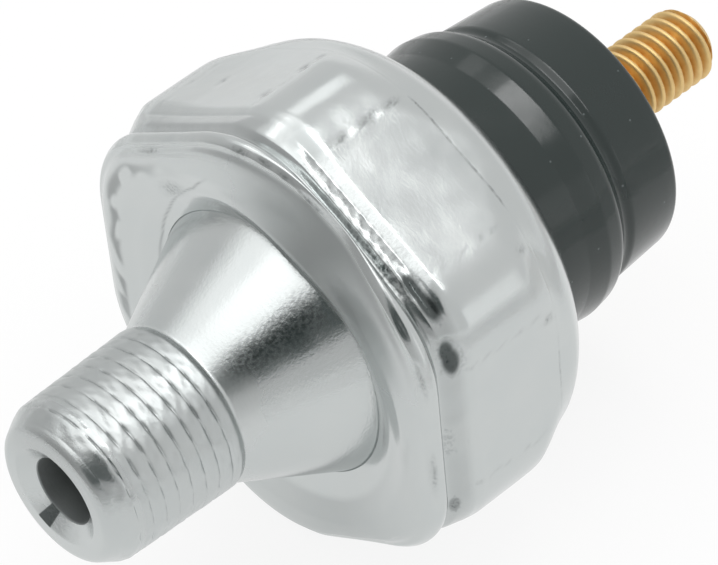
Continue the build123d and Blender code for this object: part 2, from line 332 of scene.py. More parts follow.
def thread_groove(x, turns, sizes):
    """Depth of a right-handed V groove. The distance to the nearest turn of the helix is the
    place along the axis less the groove's start and the helix's advance, folded into half a
    pitch. The depth falls from the full one along the flank, and a soft maximum rounds its ends."""
    pitch = sizes.thread_pitch
    phase = (x - sizes.groove_start) / pitch + turns[None, :] / math.tau
    distance = np.abs(phase - np.round(phase)) * pitch
    fall = distance / math.tan(sizes.groove_angle / 2)
    soft = 0.05 * MM
    depth = sizes.groove_depth - np.sqrt(fall**2 + soft**2)
    return soft * np.logaddexp(0, depth / soft)


def crest_camber(x, turns, sizes):
    """Fall of the crest towards the groove: a parabola across the crest, least in its middle."""
    phase = (x - sizes.groove_start) / sizes.thread_pitch + turns[None, :] / math.tau
    middle = 2 * np.abs(np.abs(phase - np.round(phase)) - 0.5)
    return sizes.crest_camber * middle**2


def hexagon_radius(turns, flat, corner):
    """Polar radius of a hexagon with rounded corners. With the angle counted from the middle of a
    flat, the flat is its half width over the cosine. A corner is a circle that touches both flats,
    as large as takes the corner's tip to the given distance from the axis."""
    sixth = math.pi / 3
    off_flat = np.abs((turns % sixth) - sixth / 2)[None, :]
    off_corner = sixth / 2 - off_flat
    spread = 1 / math.cos(sixth / 2)
    rounding = (flat * spread - corner) / (spread - 1)
    centre = (flat - rounding) * spread
    straight = flat / np.cos(off_flat)
    inside = np.maximum(rounding**2 - (centre * np.sin(off_corner)) ** 2, 0)
    curved = centre * np.cos(off_corner) + np.sqrt(inside)
    return np.where(flat * np.tan(off_flat) < centre * math.sin(sixth / 2), straight, curved)


def bell(distance, width, power=2):
    """Smooth bump of height 1: e to the minus of the distance over the width, to the power."""
    return np.exp(-((distance / width) ** power))


def ramp(distance, width):
    """Straight rise from 0 to 1 over the width."""
    return np.clip(distance / width, 0, 1)


def near(turns, degrees):
    """Angle from each column to a place round the axis, the short way."""
    return (turns - math.radians(degrees) + math.pi) % math.tau - math.pi


def sector(turns, degrees, width, power=2):
    """Row with a bump round the axis. Its place and its width are in degrees."""
    return bell(near(turns, degrees), math.radians(width), power)[None, :]


def fitting_surface(sizes):
    """Nose, cone and flange as one turned profile. Along the thread, the groove and the crest's
    camber are taken off the profile's radius, and both fade out near the face and the run-out."""
    face = FITTING_BOX[0].x / MM
    rear = FITTING_BOX[1].x / MM
    flange = FITTING_BOX[1].z / MM
    lead_end = face + sizes.lead_in / MM
    crest = (sizes.crest_radius + sizes.taper * sizes.lead_in) / MM
    run_out = -sizes.run_out / MM
    run_out_crest = (sizes.crest_radius - sizes.taper * (FITTING_BOX[0].x + sizes.run_out)) / MM
    port = sizes.port_radius / MM
    chamber = rear - sizes.chamber_depth / MM
    outline = rounded(
        [
            (face + sizes.mouth_depth / MM, port, 0.15),
            (face, sizes.mouth_radius / MM, 0.2),
            (face, sizes.face_radius / MM, 0.7),
            (lead_end, crest, 1.2),
            (run_out, run_out_crest - 0.03, 0.5),
            (run_out + 0.4, sizes.run_out_radius / MM, 0.4),
            (sizes.cone_end / MM, sizes.cone_radius / MM, 0.25),
            (sizes.cone_end / MM, flange - 0.3, 0.05),
            (sizes.cone_end / MM + 0.3, flange, 0.05),
            (rear, flange, 0.1),
            (rear, sizes.chamber_radius / MM, 0.1),
            (chamber, sizes.chamber_radius / MM, 0.3),
            (chamber, port, 0.1),
        ]
    )
    thread_from = np.argmax(outline[:, 0] > (face + 0.2) * MM)
    thread_to = np.argmax(outline[:, 0] > -0.5 * sizes.run_out)
    outline = np.concatenate(
        [
            outline[:thread_from],
            densified(outline[thread_from:thread_to], THREAD_STEP),
            densified(outline[thread_to:], 0.9 * MM),
        ]
    )
    turns = angles(240)
    x, radius = outline[:, :1], outline[:, 1:] * np.ones((1, len(turns)))
    fade = np.clip((x - FITTING_BOX[0].x) / MM - 0.35, 0, 1) * ramp(0.05 * MM - x, 0.5 * MM)
    outside = radius > (sizes.mouth_radius + sizes.face_radius) / 2
    uneven = blotch(2 * x / MM, turns, 17)
    groove = thread_groove(x, turns, sizes) * fade * outside * np.clip(1 + 0.45 * uneven, 0.3, 1.6)
    camber = (crest_camber(x, turns, sizes) + sizes.crest_wave * uneven) * fade * outside
    return x, radius - groove - camber, turns, groove


def fitting_marks(sizes, x, radius, turns, depth):
    """Marks that the fitting's plating reads, each between 0 and 1 over the lathe grid. Film is
    painted light: a painted dark reflection in the port's mouth, and painted shade in the bore,
    on the cone's underside and over the top of the thread. Dull is the bore, the thread and the
    cone's root. Grime is darker grey at the bottom of the thread's groove, and painted dark
    speckle in a band along the cone's dark reflection."""
    start = FITTING_BOX[0].x
    bore = (radius < sizes.port_radius + 0.05 * MM) & (x < sizes.cone_end)
    outer = (radius > sizes.port_radius + 0.1 * MM) & (x < sizes.cone_end)
    thread = outer * (x < 0)
    cone = outer * np.clip(x / MM - 0.6, 0, 1) * np.clip((sizes.cone_end - x) / MM - 0.3, 0, 1)
    mouth = (radius < sizes.mouth_radius) & (x < start + sizes.mouth_depth)
    # Painted dark reflection in the port's mouth, painted shade in the bore, on the cone's underside and on
    # the thread's top.
    painted_shade = (
        0.85 * mouth * (np.abs(near(turns, 154)) < math.radians(9))[None, :],
        0.4 * bore * (x < 0),
        0.16 * cone * sector(turns, -150, 24),
        0.2 * thread * sector(turns, 0, 75),
    )
    root = np.clip(1 - x / (4.5 * MM), 0, 1) * (x > start + 2 * MM)
    # Painted dark speckle along the band where the cone shows a dark reflection.
    painted_speckle = 0.6 * cone * sector(turns, -40, 8)
    return {
        "film": np.maximum.reduce(painted_shade),
        "dull": 0.45 * bore + 0.1 * outer * root + 0.06 * thread,
        "grime_and_shade": np.maximum(np.clip(depth / sizes.groove_depth - 0.8, 0, 1) * 0.5, painted_speckle),
    }


def cut_corners(line, rounds):
    """Closed line with its corners cut: each round puts two points on each side, a quarter of its
    length from its ends."""
    for _ in range(rounds):
        after = np.roll(line, -1, 0)
        pair = np.stack([0.75 * line + 0.25 * after, 0.25 * line + 0.75 * after], 1)
        line = pair.reshape(-1, line.shape[1])
    return line


def spread(line, spacing):
    """Line with its points spread anew, at the spacing given for each stretch."""
    gaps = np.linalg.norm(np.diff(line, axis=0), axis=1) * 2 / (spacing[1:] + spacing[:-1])
    travelled = np.concatenate([[0], np.cumsum(gaps)])
    at = np.linspace(0, travelled[-1], math.ceil(travelled[-1]) + 1)
    return np.stack([np.interp(at, travelled, column) for column in line.T], -1)


def crinkle(x, turns, waves, seed):
    """Fine uneven surface: plane waves along the axis and round it, whose directions, lengths and
    phases come from the seed, summed and divided by the root of their number. On the cup's side
    they are 0.4 to 4 mm long."""
    random = np.random.default_rng(seed)
    round_order = random.integers(20, 150, waves)
    along = random.uniform(-9, 9, waves)
    phase = random.uniform(0, math.tau, waves)
    surface = sum(np.cos(k * turns[None, :] + m * x + p) for k, m, p in zip(round_order, along, phase))
    return surface / math.sqrt(waves)


def blotch(across, turns, seed):
    """Uneven patches: like the crinkle, but of waves that are longer round the axis."""
    random = np.random.default_rng(seed)
    waves = 14
    round_order = random.integers(8, 34, waves)
    along = random.uniform(-5, 5, waves)
    phase = random.uniform(0, 6.3, waves)
    surface = sum(np.cos(k * turns[None, :] + m * across + p) for k, m, p in zip(round_order, along, phase))
    return surface / math.sqrt(waves)


def cup_stations(sizes):
    """Skin of the cup, from the lip's edge over the bead, the hexagon and the dome to the opening
    and back along the inside. Each station is a place along the axis, a flat's half width and a
    corner's reach."""
    front = SHELL_BOX[0].x / MM
    flat, corner = sizes.flat_radius / MM, sizes.corner_radius / MM
    bead_corner, bead = sizes.bead_corner_radius / MM, sizes.bead_place / MM
    crease, start, end = sizes.crease_place / MM, sizes.flat_start / MM, sizes.flat_end / MM
    deep = flat - sizes.crease_depth / MM
    edge, ring = sizes.lip_edge_radius / MM, sizes.lip_crease_radius / MM
    ring_x = front + sizes.lip_crease_depth / MM
    flange_thickness = 2.4
    flange_front = FITTING_BOX[1].x / MM - flange_thickness
    bore = flat - sizes.wall / MM
    opening = sizes.opening_radius / MM
    dome, dome_x = sizes.dome_radius / MM, sizes.dome_centre / MM
    dome_r = flat + 0.7 - dome
    under = dome - sizes.wall / MM + 0.02
    outer_from = math.asin((end + 1.35 - dome_x) / dome)
    outer_to = math.acos((opening + 0.25 - dome_r) / dome)
    inner_from = math.acos((opening - dome_r) / under)
    inner_to = math.acos((bore - dome_r) / under)
    outside, inside = (
        [
            (dome_x + reach * math.sin(angle), dome_r + reach * math.cos(angle))
            for angle in np.linspace(first, last, count)
        ]
        for reach, first, last, count in ((dome, outer_from, outer_to, 14), (under, inner_from, inner_to, 6))
    )
    lip = [
        (flange_front, edge + 0.17),
        (flange_front - 0.02, edge + 0.16),
        (flange_front - 0.32, edge),
        (flange_front - 0.36, edge + 0.03),
        (flange_front - 0.38, edge + 0.12),
        (ring_x + 0.05, ring - 0.5),
        (ring_x, ring - 0.2),
        (ring_x - 0.04, ring + 0.1),
        (front + 0.08, ring + 0.75),
        (front, ring + 1.05),
    ]
    bead_skin = [
        (front, 11.6, 11.9),
        (front + 0.02, 12.0, 12.6),
        (front + 0.14, 12.42, 13.1),
        (front + 0.42, 12.72, 13.45),
        (bead - 0.45, flat - 0.33, bead_corner - 0.28),
        (bead - 0.14, flat - 0.09, bead_corner - 0.08),
        (bead + 0.02, flat - 0.005, bead_corner - 0.01),
        (bead + 0.14, flat + 0.015, bead_corner),
        (bead + 0.28, flat - 0.02, bead_corner),
        (crease - 0.27, flat - 0.3, bead_corner - 0.1),
        (crease - 0.08, deep + 0.1, bead_corner - 0.35),
        (crease + 0.05, deep, bead_corner - 0.5),
        (crease + 0.15, deep, bead_corner - 0.5),
    ]
    shoulder = [
        (crease + 0.35, deep + 0.1, corner - 0.64),
        (crease + 0.6, deep + 0.34, corner - 0.43),
        (crease + 0.74, deep + 0.45, corner - 0.39),
        (crease + 0.95, deep + 0.484, corner - 0.33),
        (crease + 1.35, deep + 0.478, corner - 0.22),
        (crease + 1.46, deep + 0.47, corner - 0.19),
        (crease + 1.52, deep + 0.455, corner - 0.175),
        (crease + 1.58, deep + 0.49, corner - 0.16),
        (crease + 1.68, deep + 0.54, corner - 0.125),
        (crease + 2.04, deep + 0.675, corner - 0.08),
        (crease + 2.18, deep + 0.693, corner - 0.05),
        (start + 0.1, flat - 0.053, corner - 0.015),
        (start + 0.3, flat - 0.05, corner),
    ]
    hexagon = [
        (start + 1.2, flat - 0.04, corner),
        (end - 1.6, flat - 0.01, corner),
        (end - 1.1, flat, corner - 0.1),
        (end - 0.35, flat, corner - 0.47),
        (end - 0.08, flat, corner - 0.62),
        (end - 0.02, flat - 0.006, corner - 0.66),
        (end + 0.03, flat - 0.006, corner - 0.68),
        (end + 0.08, flat - 0.002, corner - 0.7),
        (end + 0.35, flat - 0.003, corner - 0.84),
        (end + 0.8, flat - 0.006, corner - 1.04),
    ]
    rim = [(dome_x + dome - 0.03, opening + 0.08), (dome_x + dome - 0.3, opening)]
    wrap = [(flange_front, bore)]
    lip, outside, rim, inside, wrap = (
        [(x, r, r) for x, r in part] for part in (lip, outside, rim, inside, wrap)
    )
    return np.array([*lip, *bead_skin, *shoulder, *hexagon, *outside, *rim, *inside, *wrap])


def cup_line(sizes):
    """Stations rounded by cutting their corners, and spread closely over the bead and the crease,
    and widely over the flats, the dome and the inside."""
    line = cut_corners(cup_stations(sizes), 2)
    bore = (sizes.flat_radius - sizes.wall) / MM
    x, flat = line[:, 0], line[:, 1]
    front_end = 7.35
    outer = (flat > bore + 0.05) | (x < front_end)
    spacing = np.full(len(line), 1.5)
    spacing[outer] = 0.36
    spacing[outer & (x < front_end)] = 0.16
    spacing[outer & (x > 5.9) & (x < 10.4) & (flat > CUP_SIDE)] = 0.1
    spacing[outer & (np.abs(x - sizes.flat_end / MM - 0.1) < 0.3)] = 0.08
    return spread(line, spacing)


class CupSkin:
    """The cup's grid while it is shaped, in millimetres. Rows run along its line and columns round
    the axis. It holds the places and radii, the marks that the plating reads, and the uneven
    lines that several marks share."""

    def __init__(self, sizes):
        line = cup_line(sizes)
        self.turns = angles(600)
        self.station, self.flat = line[:, :1], line[:, 1:2]
        self.radius = hexagon_radius(self.turns, self.flat, line[:, 2:3])
        self.x = self.station * np.ones((1, len(self.turns)))
        self.grime_and_shade, self.film = np.zeros_like(self.x), np.zeros_like(self.x)
        self.front = SHELL_BOX[0].x / MM
        self.bead = sizes.bead_place / MM + 0.14
        self.crease, self.flats = sizes.crease_place / MM, sizes.flat_start / MM
        bore = (sizes.flat_radius - sizes.wall) / MM
        self.outer = (self.flat > bore + 0.05) | (self.station < self.front + 1)
        self.side = self.flat > CUP_SIDE
        self.off_flat = np.degrees(np.abs((self.turns % (math.pi / 3)) - math.pi / 6))[None, :]
        self.fine = crinkle(self.station, self.turns, 40, 11)
        self.broad = ripple(self.turns, (2, 3, 5, 8, 13, 21), 12)[None, :]
        worked = sector(self.turns, -30, 21, 6) + 0.3 * np.clip(self.broad, 0, 1)
        self.worked = np.clip(worked, 0, 1)
        press_place = near(self.turns, -27)
        self.press = bell(press_place, np.radians(np.where(press_place < 0, 18, 26)))[None, :]

    def soil_and_shade(self, amount):
        """Grime and painted shade, where it is more than what is there."""
        self.grime_and_shade = np.maximum(self.grime_and_shade, amount)

    def coat_and_shade(self, amount):
        """Film and painted shade, where it is more than what is there."""
        self.film = np.maximum(self.film, amount)


def press_cup(cup, sizes):
    """Large forms that the crimping left. The lip stands off the cone on one side by the square of
    the cosine of the angle from there. Over one flat the front face is pressed to a slope that
    begins at slope_foot, and the metal behind the bead follows it less and less. Three corners
    stand proud or low by a bump round the axis between two places along it."""
    gap = np.clip(np.cos(near(cup.turns, -55)), 0, 1)[None, :] ** 2
    lip = (cup.station < cup.front + 1.8) & (cup.flat < 9.4)
    cup.radius = cup.radius + sizes.lip_gap / MM * gap * ramp(9.3 - cup.flat, 0.6) * lip

    half_width = sizes.flat_radius / MM
    slope, slope_foot, follow_end = 0.49, 9.9, 8.5
    pressed_x = cup.front + 0.08 + slope * np.maximum(cup.flat - slope_foot, 0)
    top = cup.front + 0.08 + slope * (half_width + 0.015 - slope_foot) - cup.bead
    follow = ramp(follow_end - cup.station, follow_end - cup.bead)
    face = (cup.station <= cup.bead) & (cup.flat > 9.4) & (cup.flat < half_width + 0.1)
    behind = top * follow * (cup.station > cup.bead) * (cup.flat > 12.3)
    cup.x = cup.x + cup.press * np.where(face, pressed_x - cup.station, behind)

    bends = ((60, 0.56, 8.2, 18.6), (180, -0.42, 4.6, 8.2), (-148, -0.22, 4.6, 8.2))
    for degrees, height, begin, end in bends:
        window = ramp(cup.station - begin, 2.0) * ramp(end - cup.station, 1.5)
        bump = bell(near(cup.turns, degrees)[None, :] * cup.radius, 4.2)
        cup.radius = cup.radius + height * bump * window * cup.side


def crease_cup(cup, sizes):
    """Crease behind the bead, where the metal was worked most: a rough band, a broken seam, a
    painted shade at the crease's foot that widens round the axis, and the broken line where the
    flats end."""
    skin = (cup.flat > 12) * cup.worked
    behind = cup.station - cup.crease
    rough = bell(behind - 1.08, 0.42, 6) * skin
    cup.radius = cup.radius + 0.01 * rough * cup.fine
    cup.soil_and_shade(0.4 * rough * np.clip(cup.fine + 0.3, 0, 1))
    seam = bell(behind - 1.52, 0.05) * skin
    cup.soil_and_shade(seam * np.clip(0.45 + 0.5 * cup.fine, 0, 0.8))
    toward = ramp(math.radians(-20) - near(cup.turns, 0), math.radians(26))[None, :]
    # Painted shade at the crease's foot, widening round the axis towards the pockets.
    pinch_shade = bell(behind - 0.4 - 0.04 * cup.fine, 0.12 + 0.2 * toward, 4) * skin
    cup.soil_and_shade(pinch_shade * np.clip(0.32 + 0.5 * toward + 0.1 * cup.fine, 0, 0.85))
    line = bell(cup.station - sizes.flat_end / MM - 0.01, 0.05) * (cup.flat > 12)
    line = line * ramp(18.5 - cup.off_flat, 3) * (0.15 + 0.85 * cup.worked)
    cup.soil_and_shade(line * np.clip(0.5 + 0.3 * cup.broad + 0.3 * cup.fine, 0.1, 0.8))


def film_and_shade_cup(cup):
    """Smooth greys: a band behind the bead, the front face where it is pressed, painted shade on the
    face's lower side under the cone, and painted shade beside the top corner that parts two
    highlights. Returns how dull the pressed face is."""
    band = bell(cup.station - 8.6, 0.75, 4) * cup.side * np.clip(1 - 1.5 * cup.worked, 0, 1)
    cup.coat_and_shade(0.2 * band * np.clip(1 + 0.25 * cup.broad, 0.5, 1.5))
    strip = ramp(cup.flat - 9.7, 0.4) * ramp(12.9 - cup.flat, 0.3) * (cup.station < cup.bead)
    # Grey over the pressed face, and painted shade on the face's lower side under the cone.
    cup.coat_and_shade(strip * np.maximum(0.42 * cup.press**1.5, 0.18 * sector(cup.turns, -152, 28)))
    # Painted shade between the highlights beside the top corner.
    cup.coat_and_shade(0.4 * sector(cup.turns, -7.8, 5, 4) * bell(cup.station - 9.35, 0.8, 4) * cup.side)
    return 0.26 * strip * sector(cup.turns, -34, 38, 4)


def score_face(cup):
    """Scored arc that winds from the bead in to the lip. Its radius goes through given angles."""
    angles_there, radii_there = (0, 9, 24, 49, 68, 95), (13, 11.8, 10.26, 9.2, 8.78, 8.7)
    turn = near(cup.turns, 0)
    arc = np.interp(turn, np.radians(angles_there), radii_there)[None, :]
    shown = ramp(near(cup.turns, 12), 0.125) * ramp(math.radians(95) - turn, 0.25)
    on_lip = (cup.station < cup.front + 1.5) * (cup.flat > 8.6)
    scored = bell(cup.flat - arc, 0.07) * shown[None, :] * on_lip
    cup.coat_and_shade(0.35 * scored)
    cup.x = cup.x + 0.04 * scored


def wrinkle_corners(cup):
    """Wrinkle along one edge of the worked corner: a ridge on a crinkled line beside the flat."""
    ridge = bell(cup.off_flat - 17.5 - 0.8 * cup.fine, math.sqrt(0.9))
    window = ramp(cup.station - cup.flats + 0.5, 0.5) * ramp(15.9 - cup.station, 0.5)
    wrinkle = ridge * window * cup.worked * (near(cup.turns, -30) > 0)
    cup.radius = cup.radius + 0.02 * wrinkle
    cup.soil_and_shade(0.4 * wrinkle * np.clip(cup.fine, 0, 1))


def fold_face(cup, sizes):
    """Ragged fold in the front face, on the rippled outline of a smaller hexagon. It is strong on
    one side, and long patches break it."""
    on_face = (cup.station < cup.front + 0.25) & (cup.radius > sizes.lip_crease_radius / MM + 0.4)
    flat = 11.45 + 0.16 * ripple(cup.turns, (3, 6, 9, 14, 21), 3)[None, :]
    outline = hexagon_radius(cup.turns, flat, flat * 1.09)
    strength = sector(cup.turns, 80, 42, 4) + 0.1 * np.clip(cup.broad, 0, 1)
    patch = np.clip(blotch(cup.radius, cup.turns, 31) * 1.5 + 0.65, 0, 1)
    fold = bell(cup.radius - outline, 0.42, 4) * on_face * strength * patch
    cup.x = cup.x + fold * sizes.fold_depth / MM
    cup.soil_and_shade(0.4 * fold)
    cup.coat_and_shade(0.5 * fold)


def scuff_corners(cup):
    """Scuffs along both edges of each corner's rounding, broken by a coarse crinkle."""
    edges = [corner + side * 11.8 for corner in range(0, 360, 60) for side in (-1, 1)]
    edge = sum(sector(cup.turns, degrees, 0.7) for degrees in edges)
    along = ramp(cup.station - cup.flats + 1, 0.5) * ramp(15.6 - cup.station, 0.8)
    scuff = edge * along * np.clip(0.3 + 0.7 * crinkle(cup.station, cup.turns, 12, 21), 0, 1)
    cup.radius = cup.radius - 0.01 * scuff
    cup.soil_and_shade(0.15 * scuff)


def dent_cup(cup, sizes):
    """Pockets, nicks and dents: hollows that fall off as a bell along the axis and round it. Their
    grime is painted shade in the deep pockets, which also have a grey floor of painted shade."""
    for place, degrees, length_mm, width_mm, depth, dirt_and_shade in cup_marks():
        across = near(cup.turns, degrees)[None, :] * cup.radius
        hollow = bell(cup.station - place, length_mm) * bell(across, width_mm) * cup.outer
        cup.radius = cup.radius - hollow * depth * sizes.mark_depth / MM
        # In the pockets this grime, and the grey floor below, are painted shade.
        cup.soil_and_shade(dirt_and_shade * hollow)
        cup.coat_and_shade(np.clip(2 * dirt_and_shade - 1.1, 0, 0.88) * np.clip(2.6 * hollow - 0.6, 0, 1))


def shell_surface(sizes):
    """Cup as rings of a rounded hexagon, one for each place of its line, with the forms and marks
    that crimping and handling left, and painted shade, added to its places, radii, grime and film
    in turn."""
    cup = CupSkin(sizes)
    press_cup(cup, sizes)
    crease_cup(cup, sizes)
    dull = film_and_shade_cup(cup)
    score_face(cup)
    wrinkle_corners(cup)
    fold_face(cup, sizes)
    scuff_corners(cup)
    dent_cup(cup, sizes)
    return cup.x * MM, cup.radius * MM, cup.turns, {"grime_and_shade": cup.grime_and_shade, "film": cup.film, "dull": dull}


def cup_marks():
    """Pinched pockets and small dents: place along the axis, angle, length along the axis, width
    round it, share of the mark's depth, and grime, which in the pockets is painted shade."""
    # The pockets' grime is painted shade.
    pockets = [
        (8.8, -48.6, 0.42, 1.0, 1.6, 1.0),
        (8.85, -53.4, 0.46, 1.1, 1.6, 1.0),
        (8.65, -64.8, 0.46, 0.75, 1.5, 1.0),
        (8.75, -67.4, 0.55, 0.95, 1.5, 1.0),
        (8.3, -113.0, 0.3, 0.7, 1.8, 0.8),
        (8.25, 172.0, 0.3, 0.8, 1.8, 0.8),
        (8.3, 126.0, 0.28, 0.6, 1.6, 0.7),
    ]
    nicks = [
        (6.55, 2, 0.14, 0.6, 0.6, 0.45),
        (6.6, -5, 0.12, 0.5, 0.7, 0.5),
        (6.6, -10.5, 0.14, 0.45, 0.6, 0.4),
        (6.5, -18.5, 0.12, 0.8, 0.7, 0.5),
        (6.3, 36, 0.12, 0.9, 0.6, 0.35),
        (6.7, -54, 0.14, 0.6, 0.6, 0.4),
        (6.6, -67, 0.12, 0.9, 0.6, 0.4),
        (6.6, -96, 0.12, 1.1, 0.6, 0.4),
    ]
    dents = [
        (11.26, 13.1, 0.28, 0.28, 0.7, 0.4),
        (14.13, 12.8, 0.3, 0.26, 0.8, 0.5),
        (15.33, 12.4, 0.26, 0.22, 0.6, 0.4),
        (11.55, -11.5, 0.4, 0.2, 0.5, 0.4),
        (13.35, -11.5, 0.5, 0.2, 0.5, 0.45),
        (15.0, -11.6, 0.45, 0.2, 0.5, 0.45),
        (15.45, -55.3, 0.25, 0.24, 0.6, 0.4),
        (15.61, -74, 0.3, 0.25, 0.7, 0.45),
        (12.6, 38, 0.25, 0.22, 0.5, 0.3),
        (12.9, 150, 0.35, 0.3, 0.6, 0.3),
        (11.0, 205, 0.3, 0.25, 0.6, 0.3),
    ]
    return pockets + nicks + dents


def insulator_surface(sizes):
    """Insulator as one turned profile: flange under the cup's dome, neck, step, tapered boot, hole
    for the stud's shank and the room round the contact."""
    start = INSULATOR_BOX[0].x / MM
    end = INSULATOR_BOX[1].x / MM
    neck = sizes.neck_radius / MM
    boot = sizes.boot_start / MM
    cavity = sizes.cavity_radius / MM
    cavity_end = sizes.cavity_end / MM
    # The hole is as wide as the stud's shank.
    hole = 3.0
    outline = rounded(
        [
            (start, cavity, 0.05),
            (start, sizes.shoulder_radius / MM, 0.1),
            (17.2, sizes.shoulder_radius / MM, 1.5),
            (18.8, neck + 0.6, 0.6),
            (18.9, neck - 0.2, 0.1),
            (22.9, neck - 0.14, 1.2),
            (24.4, neck + 0.05, 1.0),
            (boot - 1.6, neck - 0.12, 1.0),
            (boot - 0.75, sizes.step_radius / MM, 0.6),
            (boot - 0.12, sizes.boot_start_radius / MM - 0.04, 0.7),
            (end, sizes.boot_end_radius / MM, 0.45),
            (end, hole, 0.1),
            (cavity_end, hole, 0.05),
            (cavity_end, cavity, 0.05),
        ]
    )
    outline = densified(outline, 0.8 * MM)
    turns = angles(240)
    return outline[:, :1], outline[:, 1:] * np.ones((1, len(turns))), turns


def stud_surface(sizes):
    """Stud as a turned profile from the pilot to the tip. Along the thread, the radius is the
    smaller of the chamfered profile and the crest less the groove."""
    front = STUD_BOX[0].x / MM
    tip = STUD_BOX[1].x / MM
    head_front = front + sizes.pilot_height / MM
    head_rear = head_front + sizes.head_thickness / MM
    begin = sizes.thread_begin / MM
    crest = sizes.crest_radius / MM
    chamfer = sizes.tip_chamfer / MM
    outline = rounded(
        [
            (front, 0.02),
            (front, sizes.pilot_radius / MM, 0.3),
            (head_front, sizes.pilot_radius / MM),
            (head_front, sizes.head_radius / MM, 0.2),
            (head_rear, sizes.head_radius / MM),
            (head_rear, sizes.shank_radius / MM),
            (begin, sizes.shank_radius / MM, 0.05),
            (begin, crest),
            (tip - chamfer, crest, 0.5),
            (tip, crest - chamfer, 0.5),
            (tip, 0.02),
        ]
    )
    thread_from = np.argmax(outline[:, 0] > (begin - 0.5) * MM)
    shank, thread = outline[:thread_from], outline[thread_from:]
    outline = np.concatenate([densified(shank, 0.8 * MM), densified(thread, THREAD_STEP)])
    turns = angles(144)
    x, radius = outline[:, :1], outline[:, 1:] * np.ones((1, len(turns)))
    groove = thread_groove(x, turns, sizes)
    outside = (x >= sizes.thread_begin) & (radius < crest * MM + 1e-6)
    cut = np.minimum(radius, crest * MM - groove)
    return x, np.where(outside, cut, radius), turns, np.where(outside, groove, 0)


def spring_coil(sizes):
    """Wire of the contact spring as a tube round a right-handed helix. Along the helix, y is the
    mean radius times the cosine of the turn and z times its sine, and x grows with the turn. Each
    ring of the tube is the wire's radius times the cosine of its own angle along the outward
    direction, and times its sine along the direction square to that and to the wire."""
    first = SPRING_BOX[0].x + sizes.wire_radius
    last = SPRING_BOX[1].x - sizes.wire_radius
    turn = np.linspace(0, math.tau * sizes.coils, 200)
    outward = np.stack([np.zeros_like(turn), np.cos(turn), np.sin(turn)], -1)
    middle = sizes.mean_radius * outward
    middle[:, 0] = np.linspace(first, last, len(turn))
    tangent = np.stack([np.zeros_like(turn), -np.sin(turn), np.cos(turn)], -1) * sizes.mean_radius
    tangent[:, 0] = (last - first) / turn[-1]
    tangent /= np.linalg.norm(tangent, axis=1)[:, None]
    aside = np.cross(outward, tangent)
    ring = angles(16)[None, :, None]
    tube = sizes.wire_radius * (np.cos(ring) * outward[:, None] + np.sin(ring) * aside[:, None])
    return middle[:, None] + tube, middle


def add(tree, kind, inputs=None, **settings):
    """Adds a node with its settings. Each of its inputs, by name or number, is linked where an
    output is given for it and set where a plain value is."""
    node = tree.nodes.new(kind)
    for key, value in settings.items():
        setattr(node, key, value)
    for key, value in (inputs or {}).items():
        if isinstance(value, bpy.types.NodeSocket):
            tree.links.new(value, node.inputs[key])
        else:
            node.inputs[key].default_value = value
    return node


def new_material(name):
    """Empty node material with a Principled shader. Returns the material, its tree and the shader."""
    material = bpy.data.materials.new(name)
    material.use_nodes = True
    tree = material.node_tree
    tree.nodes.clear()
    shader = tree.nodes.new("ShaderNodeBsdfPrincipled")
    output = tree.nodes.new("ShaderNodeOutputMaterial")
    tree.links.new(shader.outputs["BSDF"], output.inputs["Surface"])
    return material, tree, shader


def per_mm(size):
    """Noise scale that gives features of this many millimetres on Object coordinates in metres."""
    return 1 / (size * MM)


